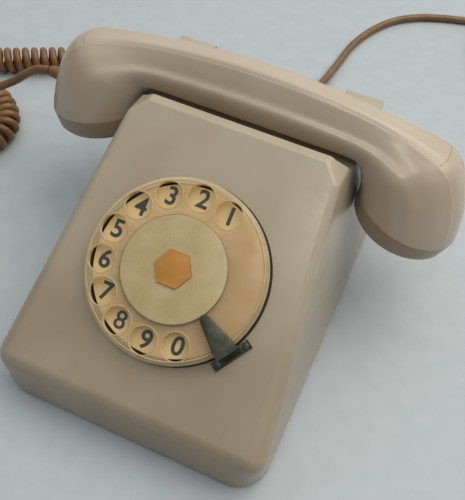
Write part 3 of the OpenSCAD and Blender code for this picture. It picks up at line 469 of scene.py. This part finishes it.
# Painted shade: the near-black finish of the ring in the gap round the finger wheel.
gap_painted_shade = finish("gap_painted_shade", "#3A3226", "#2C261D", 0.9, 0.3, bump=0.3)
table_paint = finish("table_lacquer", "#B5BBBE", "#B0B7BA", 0.55, 0.5, bump=0.02)

# %% Finishes on the frame's own pieces
finishes = {
    "housing": housing_abs, "handset_body": handset_abs, "handset_cover": handset_abs,
    "ear_cap": cap_abs_painted_shade, "mouth_cap": cap_abs_painted_shade, "finger_wheel": wheel_acrylic,
    "number_plate": plate_abs, "dial_case": case_bakelite, "label_card": card_paper,
    "label_cover": disc_acrylic, "hub_cap": hub_acrylic, "finger_stop": stop_steel,
    "finger_stop_screws": stop_steel, "rubber_feet": foot_rubber, "base_plate": zinc_steel,
    "housing_screws": zinc_steel, "dial_frame": zinc_steel, "dial_frame_screws": zinc_steel,
    "governor_cup": zinc_steel, "return_spring": zinc_steel, "ringer_frame": zinc_steel,
    "gong_screws": zinc_steel, "hook_bracket": zinc_steel, "hook_pin": zinc_steel,
    "hub_screw": zinc_steel, "dial_shaft": zinc_steel, "governor_shaft": zinc_steel,
    "clapper": zinc_steel, "ear_capsule": zinc_steel, "mouth_capsule": zinc_steel,
    "hook_lever": zinc_steel, "gong_left": spring_brass, "gong_right": spring_brass,
    "pulse_contacts": spring_brass, "hook_contacts": spring_brass, "main_gear": spring_brass,
    "worm_wheel_shaft": spring_brass, "governor_weights": spring_brass,
    "terminal_screws": spring_brass, "ringer_coils": coil_enamel, "circuit_board": board_resin,
    "terminal_block": dark_nylon, "capacitor": dark_nylon, "transformer": dark_nylon,
    "resistors": dark_nylon, "pulse_cam": pale_nylon, "hook_plungers": pale_nylon,
    "hook_bar": pale_nylon, "board_standoffs": pale_nylon, "handset_gland": cord_vinyl,
    "handset_cord_gland": cord_vinyl, "line_gland": line_vinyl, "line_plug": line_vinyl,
}
for name, made in finishes.items():
    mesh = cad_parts[name].data
    mesh.materials.clear()
    mesh.materials.append(made)
    for polygon in mesh.polygons:
        polygon.use_smooth = True
    mesh.set_sharp_from_angle(angle=math.radians(45 if name == "housing" else 28))
line_cord.data.materials.append(line_vinyl)
handset_cord.data.materials.append(cord_vinyl)
print(len(finishes), "pieces finished")

# %% [markdown]
# No moulded or stamped edge is knife sharp. A weld joins the frame's split corners, and a
# bevel gives each edge its thin line of light: a few tenths of a millimetre on the small
# pieces, 1.6 mm on the housing, whose large flat faces keep their own shading.

# %% Broken edges
SAME_POINT = 0.01 * MM


def broken_edges(name, width, segments, limit):
    """Welds a frame piece and bevels its edges; width in millimetres, limit in degrees."""
    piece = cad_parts[name]
    piece.modifiers.new("weld", "WELD").merge_threshold = SAME_POINT
    edge = piece.modifiers.new("edge", "BEVEL")
    edge.width, edge.segments = width * MM, segments
    edge.limit_method, edge.angle_limit = "ANGLE", math.radians(limit)
    return piece, edge


for name, width in [("finger_wheel", 0.55), ("finger_stop", 0.35), ("label_cover", 0.4),
                    ("hub_cap", 0.5), ("finger_stop_screws", 0.25), ("hook_plungers", 0.3),
                    ("line_plug", 0.4)]:
    broken_edges(name, width, 3, 30)[1].harden_normals = True
housing, _ = broken_edges("housing", 1.6, 4, 22)
flow = housing.modifiers.new("flow", "WEIGHTED_NORMAL")
flow.mode, flow.weight, flow.keep_sharp = "FACE_AREA", 100, False
print("edges broken")

# %% [markdown]
# ## The handset
# The real one is two mouldings: a hollow body, and a long cover strip let into its back that
# hides the wires. The body is a handle whose section turns through a bend until it has become
# the round seam of a cap. So it is lofted: each ring lies in a plane through an inner point
# and an outer point, and its outline passes from the handle's to a circle. A loft keeps the
# ridges running cleanly round the bend, which a subdivided box would smear.

# %% Handset sizes, before it leans back into the cradle
HANDSET_Y, CREST_Z, LEAN = 59.0, 113.0, math.radians(12)
CAP_R, ARCH, END_X = 27.5, 12.0, 98.5
COVER_REACH = 97.5  # how far the cover strip runs out from the middle
PIVOT = Vector((0, HANDSET_Y * MM, CREST_Z * MM))
CRADLE = (Matrix.Translation(PIVOT) @ Matrix.Rotation(-LEAN, 4, "X")
          @ Matrix.Translation(-PIVOT))
# Share of the way from the underside to the back, and half width, round half the handle.
handle_outline = [(0.0, 0.0), (0.0, 5.0), (0.01, 9.6), (0.09, 12.6), (0.33, 14.5),
                  (0.48, 14.1), (0.58, 11.7), (0.75, 9.4), (0.90, 7.2), (0.925, 6.6),
                  (0.98, 5.2), (1.0, 3.0), (1.0, 0.0)]
# The same places round the cap's seam, as angles.
seam_angles = [0, 12, 28, 45, 74, 94, 110, 126, 143, 146, 157, 168, 180]
COVER_EDGE = 9      # place of the cover's edge in the outline


def back(x):
    return CREST_Z - ARCH * (x / END_X) ** 2


# Inner point, outer point and how round the ring is, from mid handle to the seam.
bend = [((x, 86.9), (x, back(x)), 0.0) for x in (0, 8, 16, 24, 32, 40, 47)]
bend += [((52, 86.7), (56, back(56)), 0.0), ((55.2, 86.4), (65, back(65)), 0.04),
         ((57.2, 85.5), (74, back(74)), 0.13), ((58.4, 83.8), (82.5, back(82.5)), 0.26),
         ((59.1, 81.5), (90, back(90)), 0.40), ((59.6, 79.1), (96.3, 101.1), 0.53),
         ((60.0, 76.9), (101.8, 97.9), 0.63), ((60.3, 74.9), (106.2, 92.4), 0.72),
         ((60.6, 73.1), (109.8, 85.0), 0.81), ((60.8, 71.4), (112.5, 76.0), 0.89),
         ((61.0, 69.9), (114.2, 66.6), 0.96), ((61.1, 68.72), (114.9, 57.28), 1.0)]


def smooth_rows(rows, steps):
    """The cords' smoothing rule, for rows of any length."""
    made = []
    for i in range(len(rows) - 1):
        near = [rows[max(i - 1, 0)], rows[i], rows[i + 1], rows[min(i + 2, len(rows) - 1)]]
        for j in range(steps):
            t = j / steps
            made.append([0.5 * (2 * b + (c - a) * t + (2 * a - 5 * b + 4 * c - d) * t * t
                                + (3 * b - a - 3 * c + d) * t * t * t)
                         for a, b, c, d in zip(*near)])
    return made + [list(rows[-1])]


half_stations = smooth_rows([(*i, *o, k) for i, o, k in bend], 4)
stations = ([(-1, row) for row in reversed(half_stations[1:])]
            + [(1, row) for row in half_stations])
FINE = 4            # points between two places of the outline


def handset_ring(side, row):
    """One closed ring of points, from the underside up the front, over the back and down."""
    inner, outer = Vector((row[0], row[1])), Vector((row[2], row[3]))
    k = min(1, max(0, row[4]))
    half = []
    for (share, width), angle in zip(handle_outline, seam_angles):
        a = math.radians(angle)
        half.append((share + ((1 - math.cos(a)) / 2 - share) * k,
                     width + (CAP_R * math.sin(a) - width) * k))
    half = smooth_rows(half, FINE)
    front = []
    for share, width in half:
        x, z = inner.lerp(outer, min(1, max(0, share)))
        front.append((x * side, -max(0, width), z))
    ring = front + [(x, -y, z) for x, y, z in reversed(front[1:-1])]
    return [CRADLE @ (Vector((x, HANDSET_Y + y, z)) * MM) for x, y, z in ring]


rings = [handset_ring(side, row) for side, row in stations]
around = len(rings[0])
print("handset rings", len(rings), "of", around, "points")

# %% Handset body and cover
# The cover takes the faces between its two edges, short of the ends; both pieces turn down
# at that line, so a hair of shadow shows between them as on the real one.


def lofted(name, keep, rim_depth, pull):
    """A mesh of the ring faces that keep() wants; its cover line is turned in by rim_depth."""
    build = bmesh.new()
    grid = [[build.verts.new(p) for p in ring] for ring in rings]
    for i in range(len(rings) - 1):
        for j in range(around):
            if keep(i, j):
                build.faces.new((grid[i][j], grid[i][(j + 1) % around],
                                 grid[i + 1][(j + 1) % around], grid[i + 1][j]))
    bmesh.ops.delete(build, geom=[v for v in build.verts if not v.link_faces], context="VERTS")
    bmesh.ops.remove_doubles(build, verts=build.verts, dist=SAME_POINT)
    bmesh.ops.recalc_face_normals(build, faces=build.faces)
    build.normal_update()
    last = {v for ring in (grid[0], grid[-1]) for v in ring if v.is_valid}
    rim = [e for e in build.edges if e.is_boundary
           and not (e.verts[0] in last and e.verts[1] in last)]
    for vert in {v for e in rim for v in e.verts}:
        middle = sum((f.calc_center_median() for f in vert.link_faces), Vector())
        vert.co += (middle / len(vert.link_faces) - vert.co) * pull
    inward = -rim_depth * (CRADLE.to_3x3() @ Vector((0, 0, 1))) * MM
    made = bmesh.ops.extrude_edge_only(build, edges=rim)
    for vert in [g for g in made["geom"] if isinstance(g, bmesh.types.BMVert)]:
        vert.co += inward
    piece = mesh_from(name, build)
    piece.data.set_sharp_from_angle(angle=math.radians(40))
    return piece


cover_from, cover_to = COVER_EDGE * FINE, around - COVER_EDGE * FINE
reach = [abs(row[2]) for side, row in stations]


def is_cover(i, j):
    return cover_from <= j < cover_to and max(reach[i], reach[i + 1]) < COVER_REACH


RIM_DEPTH, RIM_PULL = 2.0, 0.10     # millimetres, and a share of the way to the faces
handset_shell = lofted("handset_shell", lambda i, j: not is_cover(i, j), RIM_DEPTH, RIM_PULL)
cover_strip = lofted("cover_strip", is_cover, RIM_DEPTH, RIM_PULL)
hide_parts("handset_body")
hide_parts("handset_cover")
for piece in (handset_shell, cover_strip):
    piece.data.materials.append(handset_abs)
    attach(piece, "handset")
print("handset shell", len(handset_shell.data.polygons), "faces")

# %% [markdown]
# ## The figures on the number plate
# They are printed: round bold figures, upright on the face, one behind each finger hole.
# Text objects give clean outlines, and a small offset makes them bold.

# %% Figures
WHEEL_R, WHEEL_TOP, PLATE_TOP = 43.5, 8.2, 3.2
HOLE_RING = WHEEL_R - 8.65
FIRST_HOLE, HOLE_STEP = 23.9, 25.3      # degrees clockwise from the top, and between holes
hole_angles = [math.radians(FIRST_HOLE - HOLE_STEP * i) for i in range(10)]
for i, angle in enumerate(hole_angles):
    data = bpy.data.curves.new("figure", "FONT")
    data.body = str((i + 1) % 10)
    data.size = 12.2 * MM
    data.offset = (0.12 if data.body == "8" else 0.26) * MM
    data.extrude = 0.04 * MM
    data.align_x, data.align_y = "CENTER", "CENTER"
    figure = as_mesh("figure_" + data.body, data)
    figure.matrix_world = Matrix.Translation(
        on_dial(HOLE_RING * math.sin(angle), HOLE_RING * math.cos(angle), PLATE_TOP + 0.05)
    ) @ LEAN_BACK
    figure.data.materials.append(digit_ink)
    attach(figure, "telephone")
print("ten figures set")

# %% [markdown]
# A wheel turns clear of the face, and the gap under it lies in shade. That shade is painted:
# a thin dark ring all round the wheel, a flat ring that hugs the face.

# %% The gap round the wheel
RIM_POINTS = 144
build = bmesh.new()
profile = [(WHEEL_R - 0.6, 0.1), (WHEEL_R - 0.6, 0.3),
           (WHEEL_R + 0.55, 0.3), (WHEEL_R + 0.75, 0.1)]
close_ring(build, [[build.verts.new(on_dial(r * math.cos(a), r * math.sin(a), w))
                    for r, w in profile]
                   for a in (math.radians(i * 2.5) for i in range(RIM_POINTS))])
bmesh.ops.recalc_face_normals(build, faces=build.faces)
wheel_gap = mesh_from("wheel_gap_painted_shade", build, smooth=False)
wheel_gap.data.materials.append(gap_painted_shade)
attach(wheel_gap, "telephone")
print("wheel gap drawn")

# %% [markdown]
# The wheel is moulded with a rounded lip round each finger hole, so that a finger doesn't
# meet an edge, and a bead along its outer rim. Light gathers in them, and they read as pale
# rings. They are swept rings that sit on the wheel and turn with it.

# %% Lips and bead
LIP_R, LIP_THICK, BEAD_R, LIP_SIDES = 6.85, 0.34, WHEEL_R - 1.9, 8
swept = [(HOLE_RING * math.sin(a), HOLE_RING * math.cos(a), LIP_R, 40) for a in hole_angles]
build = bmesh.new()
for u, v, radius, count in [*swept, (0, 0, BEAD_R, RIM_POINTS)]:
    loops = []
    for i in range(count):
        a = 2 * math.pi * i / count
        loops.append([build.verts.new(on_dial(
            u + (radius + LIP_THICK * math.cos(b)) * math.cos(a),
            v + (radius + LIP_THICK * math.cos(b)) * math.sin(a),
            WHEEL_TOP + 0.5 * LIP_THICK * math.sin(b)))
            for b in (2 * math.pi * j / LIP_SIDES for j in range(LIP_SIDES))])
    close_ring(build, loops)
bmesh.ops.recalc_face_normals(build, faces=build.faces)
lips = mesh_from("finger_hole_lips", build)
lips.data.materials.append(lip_acrylic)
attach(lips, "dial")
print("lips swept")

# %% [markdown]
# ## Table and light
# A plain pale table, a broad soft light from behind and above on the right, as from a
# window, and a small weak lamp overhead in front of it.

# %% Table and light
build = bmesh.new()
bmesh.ops.create_grid(build, x_segments=1, y_segments=1, size=3)
table = mesh_from("table", build, smooth=False)
table.data.materials.append(table_paint)
AIM = Vector((0, 0, 0.05))


def soft_light(name, place, size, power, colour):
    data = bpy.data.lights.new(name, "AREA")
    data.shape = "RECTANGLE"
    data.size, data.size_y = size
    data.energy = power
    data.color = paint(colour)[:3]
    turned = (AIM - Vector(place)).to_track_quat("-Z", "Y").to_matrix().to_4x4()
    placed(name, data).matrix_world = Matrix.Translation(place) @ turned


soft_light("window", (0.55, 0.5, 1.3), (1.4, 1.2), 12, "#FFF8EC")
soft_light("ceiling_lamp", (0.02, -0.42, 1.2), (0.2, 0.2), 0.8, "#FFF4E2")

# %% [markdown]
# The room itself is brightest at its ceiling and dim towards the onlooker, which is what
# lightens the upper end of the glossy face and lets its lower end go dark and warm.

# %% Room light
sky = bpy.data.worlds.new("sky")
scene.world = sky
sky.use_nodes = True
tree = sky.node_tree
heading = add(tree, "TexCoord").outputs["Generated"]
lift = add(tree, "VectorMath", {"operation": "DOT_PRODUCT", 1: (0.05, 0.42, 0.80)},
           _0=heading)
level = add(tree, "MapRange", {"From Min": 0.15, "From Max": 0.92, "To Min": 0.17,
                               "To Max": 1.32}, Value=lift.outputs["Value"])
tree.nodes["Background"].inputs[0].default_value = paint("#E4E8EC")
tree.links.new(level.outputs["Result"], tree.nodes["Background"].inputs[1])
scene.view_settings.view_transform = "Standard"
print("lit")

# %% Final update
bpy.context.view_layer.update()
